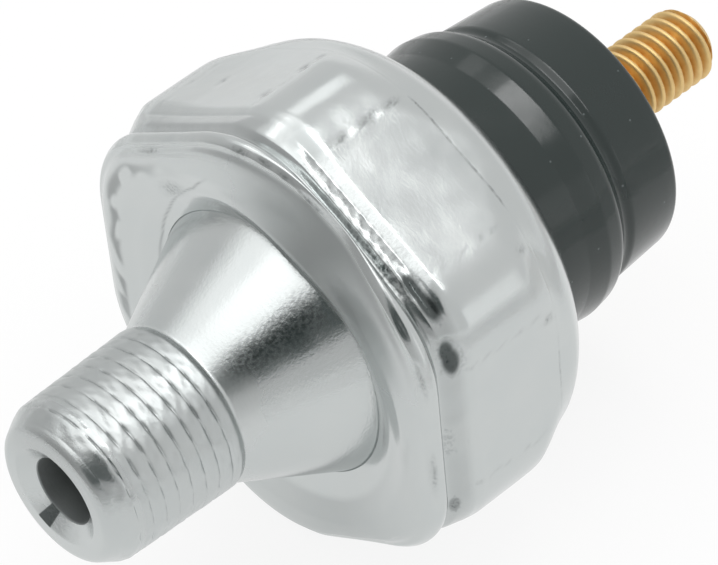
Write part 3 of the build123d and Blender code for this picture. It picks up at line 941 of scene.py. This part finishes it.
def zinc_plate(colours, name, grain, wave, rings):
    """Zinc electroplate on steel, bright and passivated. It mirrors the room in soft patches: the
    plating follows a fine grain and slow waves of the metal under it, and dulls in cloudy spots.
    A gritty grey in creases and a smooth grey over some stretches are partly deposit and film,
    partly painted shade and painted dark reflection. Turned faces also have fine rings from the
    tool. Grain, wave and rings are the heights of that relief in millimetres. The grain, 0.19 mm
    wide, is as coarse as it has to be to show."""
    material, tree, shader = new_material(name)
    place = add(tree, "ShaderNodeTexCoord").outputs["Object"]
    clouds = add(
        tree, "ShaderNodeTexNoise", {"Vector": place, "Scale": per_mm(3.5), "Detail": 3.0, "Roughness": 0.6}
    ).outputs["Fac"]
    shade = add(
        tree,
        "ShaderNodeMix",
        {"Factor": clouds, COLOUR_A: (*colours.zinc_shade, 1), COLOUR_B: (*colours.zinc, 1)},
        data_type="RGBA",
    ).outputs[COLOUR_OUT]
    # Grime and painted shade, from the mesh.
    dirt_and_shade = add(tree, "ShaderNodeAttribute", attribute_name="grime_and_shade").outputs["Fac"]
    grit = add(tree, "ShaderNodeTexNoise", {"Vector": place, "Scale": per_mm(0.2), "Detail": 1.0})
    broken = add(
        tree,
        "ShaderNodeMapRange",
        {"Value": grit.outputs["Fac"], "From Min": 0.35, "From Max": 0.6, "To Min": 1.15, "To Max": 0.45},
    ).outputs["Result"]
    spots = add(tree, "ShaderNodeMath", {0: dirt_and_shade, 1: broken}, operation="MULTIPLY", use_clamp=True)
    # Film and painted shade from the mesh, with painted dark reflection in places.
    film_and_shade_mask = add(tree, "ShaderNodeAttribute", attribute_name="film").outputs["Fac"]
    laid = add(tree, "ShaderNodeMath", {0: spots.outputs["Value"], 1: film_and_shade_mask}, operation="MAXIMUM")
    soiled_and_shaded = add(
        tree,
        "ShaderNodeMix",
        {"Factor": laid.outputs["Value"], COLOUR_A: shade, COLOUR_B: (*colours.grime_and_shade, 1)},
        data_type="RGBA",
    )
    tree.links.new(soiled_and_shaded.outputs[COLOUR_OUT], shader.inputs["Base Color"])
    cloudy = add(
        tree,
        "ShaderNodeMapRange",
        {"Value": clouds, "From Min": 0.3, "From Max": 0.7, "To Min": 0.15, "To Max": 0.24},
    ).outputs["Result"]
    dull = add(tree, "ShaderNodeAttribute", attribute_name="dull").outputs["Fac"]
    gloss = add(tree, "ShaderNodeMath", {0: cloudy, 1: dull}, operation="ADD")
    tree.links.new(gloss.outputs["Value"], shader.inputs["Roughness"])
    shader.inputs["Metallic"].default_value = 1.0
    slow = add(tree, "ShaderNodeTexNoise", {"Vector": place, "Scale": per_mm(2.2), "Detail": 1.0})
    fine = add(
        tree, "ShaderNodeTexNoise", {"Vector": place, "Scale": per_mm(0.19), "Detail": 2.0, "Roughness": 0.6}
    )
    relief = [(slow, wave), (fine, grain)]
    if rings:
        along = add(tree, "ShaderNodeMapping", {"Vector": place, "Scale": (1, 0.02, 0.02)})
        turned = {"Vector": along.outputs["Vector"], "Scale": per_mm(0.12), "Detail": 2.0}
        relief.append((add(tree, "ShaderNodeTexNoise", turned), rings))
    under = {}
    for noise, height in relief:
        bump = add(
            tree,
            "ShaderNodeBump",
            {"Height": noise.outputs["Fac"], "Strength": 1.0, "Distance": height * MM, **under},
        )
        under = {"Normal": bump.outputs["Normal"]}
    tree.links.new(bump.outputs["Normal"], shader.inputs["Normal"])
    return material


def moulded_plastic(colours):
    """Glass-filled nylon, moulded in a polished tool. It is near black with a clear gloss, has
    tiny pale specks of filler at the surface and a very slight orange peel."""
    material, tree, shader = new_material("moulded black nylon")
    place = add(tree, "ShaderNodeTexCoord").outputs["Object"]
    cells = add(tree, "ShaderNodeTexVoronoi", {"Vector": place, "Scale": per_mm(1.1), "Randomness": 1.0})
    speck = add(
        tree,
        "ShaderNodeMapRange",
        {"Value": cells.outputs["Distance"], "From Min": 0.04, "From Max": 0.08, "To Min": 0.3, "To Max": 0},
    ).outputs["Result"]
    base = add(
        tree,
        "ShaderNodeMix",
        {"Factor": speck, COLOUR_A: (*colours.plastic, 1), COLOUR_B: (*colours.plastic_speck, 1)},
        data_type="RGBA",
    )
    tree.links.new(base.outputs[COLOUR_OUT], shader.inputs["Base Color"])
    clouds = add(tree, "ShaderNodeTexNoise", {"Vector": place, "Scale": per_mm(2.5), "Detail": 3.0})
    gloss = add(
        tree,
        "ShaderNodeMapRange",
        {"Value": clouds.outputs["Fac"], "From Min": 0.3, "From Max": 0.7, "To Min": 0.13, "To Max": 0.2},
    )
    tree.links.new(gloss.outputs["Result"], shader.inputs["Roughness"])
    shader.inputs["IOR"].default_value = 1.53
    peel = add(tree, "ShaderNodeTexNoise", {"Vector": place, "Scale": per_mm(0.5), "Detail": 2.0})
    bump = add(
        tree, "ShaderNodeBump", {"Height": peel.outputs["Fac"], "Strength": 1.0, "Distance": 0.004 * MM}
    )
    tree.links.new(bump.outputs["Normal"], shader.inputs["Normal"])
    return material


def turned_brass(colours):
    """Free-cutting brass, turned and threaded. The crests are bright and the grooves are coloured
    darker and browner, and the tool left a torn surface."""
    material, tree, shader = new_material("turned brass")
    place = add(tree, "ShaderNodeTexCoord").outputs["Object"]
    depth = add(tree, "ShaderNodeAttribute", attribute_name="groove").outputs["Fac"]
    mottle = add(
        tree, "ShaderNodeTexNoise", {"Vector": place, "Scale": per_mm(0.9), "Detail": 3.0}
    ).outputs["Fac"]
    sunk = add(tree, "ShaderNodeMath", {0: depth, 1: mottle}, operation="MULTIPLY").outputs["Value"]
    factor = add(tree, "ShaderNodeMapRange", {"Value": sunk, "From Min": 0.05, "From Max": 0.45})
    base = add(
        tree,
        "ShaderNodeMix",
        {
            "Factor": factor.outputs["Result"],
            COLOUR_A: (*colours.brass, 1),
            COLOUR_B: (*colours.brass_groove, 1),
        },
        data_type="RGBA",
    )
    tree.links.new(base.outputs[COLOUR_OUT], shader.inputs["Base Color"])
    rough = add(
        tree,
        "ShaderNodeMapRange",
        {"Value": mottle, "From Min": 0.3, "From Max": 0.7, "To Min": 0.42, "To Max": 0.55},
    )
    tree.links.new(rough.outputs["Result"], shader.inputs["Roughness"])
    shader.inputs["Metallic"].default_value = 1.0
    torn = add(tree, "ShaderNodeTexNoise", {"Vector": place, "Scale": per_mm(0.15), "Detail": 2.0})
    bump = add(
        tree, "ShaderNodeBump", {"Height": torn.outputs["Fac"], "Strength": 1.0, "Distance": 0.008 * MM}
    )
    tree.links.new(bump.outputs["Normal"], shader.inputs["Normal"])
    return material


def inner_material(name, base, metallic, roughness, grain, height):
    """Material of a part inside the cup: one colour with a fine noise in its tone, gloss and
    relief. The grain is as wide, and the relief as high, as given in millimetres."""
    material, tree, shader = new_material(name)
    place = add(tree, "ShaderNodeTexCoord").outputs["Object"]
    noise = add(
        tree, "ShaderNodeTexNoise", {"Vector": place, "Scale": per_mm(grain), "Detail": 3.0}
    ).outputs["Fac"]
    shade = [value * 0.8 for value in base]
    ends = {COLOUR_A: (*shade, 1), COLOUR_B: (*base, 1)}
    tone = add(tree, "ShaderNodeMix", {"Factor": noise, **ends}, data_type="RGBA")
    tree.links.new(tone.outputs[COLOUR_OUT], shader.inputs["Base Color"])
    rough = add(
        tree, "ShaderNodeMapRange", {"Value": noise, "To Min": roughness - 0.08, "To Max": roughness + 0.08}
    )
    tree.links.new(rough.outputs["Result"], shader.inputs["Roughness"])
    shader.inputs["Metallic"].default_value = metallic
    bump = add(tree, "ShaderNodeBump", {"Height": noise, "Strength": 1.0, "Distance": height * MM})
    tree.links.new(bump.outputs["Normal"], shader.inputs["Normal"])
    return material


def finished(piece, material, body, *nodes):
    """Gives a new piece its material and body, and lets it stand for its CAD nodes."""
    piece.data.materials.append(material)
    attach(piece, body)
    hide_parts(*nodes)


class SENDER_OT_fitting(bpy.types.Operator):
    """Turned fitting with its taper pipe thread, oil port and cone"""
    bl_idname = "sender.fitting"
    bl_label = "Threaded fitting"

    def execute(self, context):
        sizes, colours = context.scene.sender_fitting, context.scene.sender_colours
        x, radius, turns, depth = fitting_surface(sizes)
        piece = lathe("threaded_fitting", x, radius, turns)
        for name, grid in fitting_marks(sizes, x, radius, turns, depth).items():
            stored(piece, name, grid)
        material = zinc_plate(colours, "zinc plate on turned steel", grain=0.008, wave=0.02, rings=0.003)
        finished(piece, material, "housing", "fitting")
        return {"FINISHED"}


class SENDER_OT_shell(bpy.types.Operator):
    """Hexagonal cup, crimped over the fitting's flange in front and rolled over the insulator"""
    bl_idname = "sender.shell"
    bl_label = "Crimped hexagonal cup"

    def execute(self, context):
        x, radius, turns, marks = shell_surface(context.scene.sender_shell)
        piece = lathe("crimped_cup", x, radius, turns)
        for name, grid in marks.items():
            stored(piece, name, grid)
        colours = context.scene.sender_colours
        material = zinc_plate(colours, "zinc plate on formed steel", grain=0.004, wave=0.03, rings=0)
        finished(piece, material, "housing", "shell")
        return {"FINISHED"}


class SENDER_OT_insulator(bpy.types.Operator):
    """Moulded insulator with its neck and boot"""
    bl_idname = "sender.insulator"
    bl_label = "Moulded insulator"

    def execute(self, context):
        x, radius, turns = insulator_surface(context.scene.sender_insulator)
        piece = lathe("moulded_insulator", x, radius, turns)
        finished(piece, moulded_plastic(context.scene.sender_colours), "housing", "insulator")
        return {"FINISHED"}


class SENDER_OT_terminal_stud(bpy.types.Operator):
    """Brass terminal stud with its machine thread"""
    bl_idname = "sender.terminal_stud"
    bl_label = "Threaded brass stud"

    def execute(self, context):
        sizes = context.scene.sender_stud
        x, radius, turns, depth = stud_surface(sizes)
        piece = lathe("threaded_brass_stud", x, radius, turns, closed=False)
        stored(piece, "groove", np.clip(depth / sizes.groove_depth, 0, 1))
        finished(piece, turned_brass(context.scene.sender_colours), "housing", "terminal_stud")
        return {"FINISHED"}


class SENDER_OT_contact_spring(bpy.types.Operator):
    """Contact spring, which shortens as the contact lifts"""
    bl_idname = "sender.contact_spring"
    bl_label = "Contact spring"

    def execute(self, context):
        points, middle = spring_coil(context.scene.sender_spring)
        piece = grid_mesh("wound_contact_spring", points, (middle[0], middle[-1]))
        grey = context.scene.sender_colours.spring
        wire = inner_material("drawn spring steel wire", grey, 1.0, 0.3, 0.2, 0.003)
        piece.data.materials.append(wire)
        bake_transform(piece)
        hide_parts("contact_spring")
        return {"FINISHED"}


class SENDER_OT_inner_parts(bpy.types.Operator):
    """Finishes of the seal, diaphragm, plates and plunger inside the cup"""
    bl_idname = "sender.inner_parts"
    bl_label = "Inner parts"

    def execute(self, context):
        colours = context.scene.sender_colours
        brass = inner_material("rolled brass sheet", colours.brass, 1.0, 0.35, 0.4, 0.004)
        finishes = {
            "seal_ring": inner_material("moulded nitrile rubber", colours.rubber, 0.0, 0.7, 0.3, 0.01),
            "diaphragm": inner_material("pressed polyimide film", colours.film, 0.0, 0.25, 1.5, 0.01),
            "ground_plate": brass,
            "moving_contact": brass,
            "plunger": inner_material("moulded natural nylon", colours.nylon, 0.0, 0.45, 0.5, 0.005),
        }
        for name, material in finishes.items():
            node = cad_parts[name]
            node.data.materials.clear()
            node.data.materials.append(material)
        return {"FINISHED"}


class SENDER_OT_stage(bpy.types.Operator):
    """Pale floor, even room, lamps, the cards that reflections see, and the camera"""
    bl_idname = "sender.stage"
    bl_label = "Studio"

    def execute(self, context):
        studio = context.scene.sender_studio
        floor_and_room(studio, context.scene.sender_colours)
        camera(studio)
        cards()
        lamps(studio)
        return {"FINISHED"}


def sheet(name, size_x, size_y, place, facing):
    """Flat rectangle whose face looks along the given direction, with its place in its mesh."""
    turn = Vector(facing).normalized().to_track_quat("Z", "Y").to_matrix().to_4x4()
    half = ((-1, -1), (1, -1), (1, 1), (-1, 1))
    mesh = bpy.data.meshes.new(name)
    corners = [Vector(place) + turn @ Vector((a * size_x / 2, b * size_y / 2, 0)) for a, b in half]
    mesh.from_pydata(corners, [], [(0, 1, 2, 3)])
    made = bpy.data.objects.new(name, mesh)
    bpy.context.scene.collection.objects.link(made)
    return made


def floor_and_room(studio, colours):
    """Pale matt floor just under the cup's lowest corner, and even light from a room that is
    paler on the side of the stud than on the side of the nose."""
    side = studio.floor_size
    floor = sheet("floor", side, side, (0, 0, SHELL_BOX[0].z - 0.05 * MM), (0, 0, 1))
    material, tree, shader = new_material("pale matt floor")
    shader.inputs["Base Color"].default_value = (*colours.floor, 1)
    shader.inputs["Roughness"].default_value = 0.9
    shader.inputs["Specular IOR Level"].default_value = 0.1
    white = add(tree, "ShaderNodeEmission", {"Strength": 1.0}).outputs["Emission"]
    ray = add(tree, "ShaderNodeLightPath").outputs
    rays = {0: ray["Is Camera Ray"], 1: ray["Is Glossy Ray"]}
    seen = add(tree, "ShaderNodeMath", rays, operation="MAXIMUM").outputs["Value"]
    share = add(tree, "ShaderNodeMath", {0: seen, 1: studio.floor_white}, operation="MULTIPLY")
    mix = {0: share.outputs["Value"], 1: shader.outputs["BSDF"], 2: white}
    both = add(tree, "ShaderNodeMixShader", mix)
    tree.links.new(both.outputs["Shader"], tree.nodes["Material Output"].inputs["Surface"])
    floor.data.materials.append(material)
    world = bpy.data.worlds.new("even studio room")
    world.use_nodes = True
    tree = world.node_tree
    way = add(tree, "ShaderNodeTexCoord").outputs["Generated"]
    way = add(tree, "ShaderNodeSeparateXYZ", {"Vector": way}).outputs["X"]
    place = add(tree, "ShaderNodeMapRange", {"Value": way, "From Min": -1.0, "From Max": 1.0})
    light = add(tree, "ShaderNodeFloatCurve", {"Value": place.outputs["Result"]})
    curve = light.mapping.curves[0]
    curve.points[0].location = (0, studio.room_front)
    curve.points.new(0.5, studio.room_side)
    curve.points[-1].location = (1, studio.room_back)
    light.mapping.update()
    back = tree.nodes["Background"]
    back.inputs["Color"].default_value = (1, 1, 1, 1)
    tree.links.new(light.outputs["Value"], back.inputs["Strength"])
    bpy.context.scene.world = world


def camera(studio):
    """Camera found by fitting a perspective view to the outlines in the photograph. Its axes are
    the sender's own axes as the lens sees them: the sender's axis is turned away from the view
    line by the lean, its picture is tilted by the rise, and the top corner of the hexagon is
    turned about the axis."""
    lean, rise, roll = studio.camera_lean, studio.camera_rise, studio.camera_roll
    axis = Vector((math.sin(lean) * math.cos(rise), -math.sin(lean) * math.sin(rise), math.cos(lean)))
    side = Vector((math.sin(rise), math.cos(rise), 0))
    toward = Vector((math.cos(lean) * math.cos(rise), -math.cos(lean) * math.sin(rise), -math.sin(lean)))
    up = math.cos(roll) * side + math.sin(roll) * toward
    across = up.cross(axis)
    origin = Vector((studio.camera_right, studio.camera_down, studio.camera_distance))
    rows = [(v.x, -v.y, -v.z) for v in (axis, across, up)]
    place = [-origin.dot(v) for v in (axis, across, up)]
    data = bpy.data.cameras.new("camera")
    data.sensor_width = 36
    data.lens = studio.lens / MM
    data.clip_start = 0.01
    data.clip_end = 10
    view = bpy.data.objects.new("camera", data)
    bpy.context.scene.collection.objects.link(view)
    view.matrix_world = Matrix.Translation(place) @ Matrix(rows).to_4x4()
    bpy.context.scene.camera = view


def card(name, size, place, facing, tone):
    """Plain card that only reflections see, as cards and walls round a studio table show in metal."""
    made = sheet(name, *size, place, facing)
    material, _, shader = new_material("matt " + name)
    shader.inputs["Base Color"].default_value = (*linear(tone), 1)
    shader.inputs["Roughness"].default_value = 0.9
    made.data.materials.append(material)
    made.visible_camera = False
    made.visible_diffuse = False
    made.visible_shadow = False


def cards():
    """Dark card round the lens, with its middle a little below it, and the low pale edge of the
    table all round, which ends the floor in reflections a little below the horizon."""
    bearing, height = math.radians(-131), math.radians(36)
    flat = math.cos(height)
    way = Vector((flat * math.cos(bearing), flat * math.sin(bearing), math.sin(height)))
    card("card_round_lens", (210 * MM, 158 * MM), way * 300 * MM, -way, "#485150")
    low = Vector((0, 0, -6.6 * MM))
    for step in range(12):
        turn = step * math.tau / 12
        way = Vector((math.cos(turn), math.sin(turn), 0))
        card(f"low_edge_{step}", (34 * MM, 13 * MM), way * 62 * MM + low, -way, "#fafafa")


def area_lamp(name, size, place, facing, across, light):
    """Area lamp of an even brightness, with its first side along the given direction."""
    data = bpy.data.lights.new(name, "AREA")
    data.shape = "RECTANGLE"
    data.size, data.size_y = size
    data.energy = 4 * light * size[0] * size[1]
    lamp = bpy.data.objects.new(name, data)
    bpy.context.scene.collection.objects.link(lamp)
    back = -Vector(facing).normalized()
    first = Vector(across).normalized()
    turn = Matrix((first, back.cross(first), back)).transposed()
    lamp.matrix_world = Matrix.Translation(place) @ turn.to_4x4()
    lamp.visible_camera = False


def lamps(studio):
    """Large soft lamp overhead, as sheets close over each other that reach less and less far away
    from the camera, so that the light falls off there in steps that the metal's grain melts
    together. A brighter strip over the stud's side gives the highlight on the neck, and two small
    lamps give those along the cup's top corner. A faint upright lamp stands at the camera's right."""
    down, along = (0, 0, -1), (1, 0, 0)
    width = studio.lamp_front + studio.lamp_back
    middle = (studio.lamp_back - studio.lamp_front) / 2
    for layer, (reach, share) in enumerate(((1.0, 0.28), (0.68, 0.34), (0.25, 0.38))):
        depth = studio.lamp_near + reach * studio.lamp_far
        place = (middle, depth / 2 - studio.lamp_near, studio.lamp_height - 3 * MM * layer)
        area_lamp(f"soft_lamp_{layer}", (width, depth), place, down, along, share * studio.lamp_light)
    place = (113.5 * MM, -95 * MM, studio.lamp_height - 10 * MM)
    area_lamp("strip_lamp", (30 * MM, 270 * MM), place, down, along, studio.strip_light)
    bearing = math.radians(-61)
    way = Vector((math.cos(bearing), math.sin(bearing), 0.15))
    level = way.cross(Vector((0, 0, 1)))
    area_lamp("side_lamp", (70 * MM, 100 * MM), way * 300 * MM, -way, level, studio.side_light)
    for name, size, corner, ray, share in (
        ("corner_lamp", (13, 16), (11.9, 0, 14.4), (0.4775, 0.5597, 0.6765), 0.62),
        ("corner_end_lamp", (14, 10), (8.8, 0, 14.2), (0.07534, 0.56001, 0.82505), 1.0),
    ):
        ray = Vector(ray)
        place = Vector(corner) * MM + 60 * MM * ray
        across = Vector((0, -ray.z, ray.y)).cross(ray)
        size = [side * MM for side in size]
        area_lamp(name, size, place, -ray, across, share * studio.corner_light)


class SENDER_PT_panel(bpy.types.Panel):
    """Panel that lists the pieces of the sender"""
    bl_idname = "SENDER_PT_panel"
    bl_label = "Oil pressure sender"
    bl_space_type = "VIEW_3D"
    bl_region_type = "UI"
    bl_category = "Sender"

    def draw(self, context):
        for piece in PIECES:
            self.layout.operator(piece.bl_idname)
        for name in SETTINGS:
            box = self.layout.box()
            settings = getattr(context.scene, name)
            for field in settings.bl_rna.properties.keys():
                if field not in ("rna_type", "name"):
                    box.prop(settings, field)


PIECES = (
    SENDER_OT_fitting,
    SENDER_OT_shell,
    SENDER_OT_insulator,
    SENDER_OT_terminal_stud,
    SENDER_OT_contact_spring,
    SENDER_OT_inner_parts,
    SENDER_OT_stage,
)
SETTINGS = {
    "sender_fitting": FittingSizes,
    "sender_shell": ShellSizes,
    "sender_insulator": InsulatorSizes,
    "sender_stud": StudSizes,
    "sender_spring": SpringSizes,
    "sender_colours": FinishColours,
    "sender_studio": StudioSizes,
}


def register():
    """Registers the settings, operators and panel."""
    for name, group in SETTINGS.items():
        bpy.utils.register_class(group)
        setattr(bpy.types.Scene, name, PointerProperty(type=group))
    for item in (*PIECES, SENDER_PT_panel):
        bpy.utils.register_class(item)


def unregister():
    """Removes the settings, operators and panel."""
    for item in (SENDER_PT_panel, *reversed(PIECES)):
        bpy.utils.unregister_class(item)
    for name, group in SETTINGS.items():
        delattr(bpy.types.Scene, name)
        bpy.utils.unregister_class(group)


def main():
    register()
    bpy.context.scene.view_settings.view_transform = "Standard"
    bpy.ops.sender.fitting()
    bpy.ops.sender.shell()
    bpy.ops.sender.insulator()
    bpy.ops.sender.terminal_stud()
    bpy.ops.sender.contact_spring()
    bpy.ops.sender.inner_parts()
    bpy.ops.sender.stage()


if __name__ == "__main__":
    main()
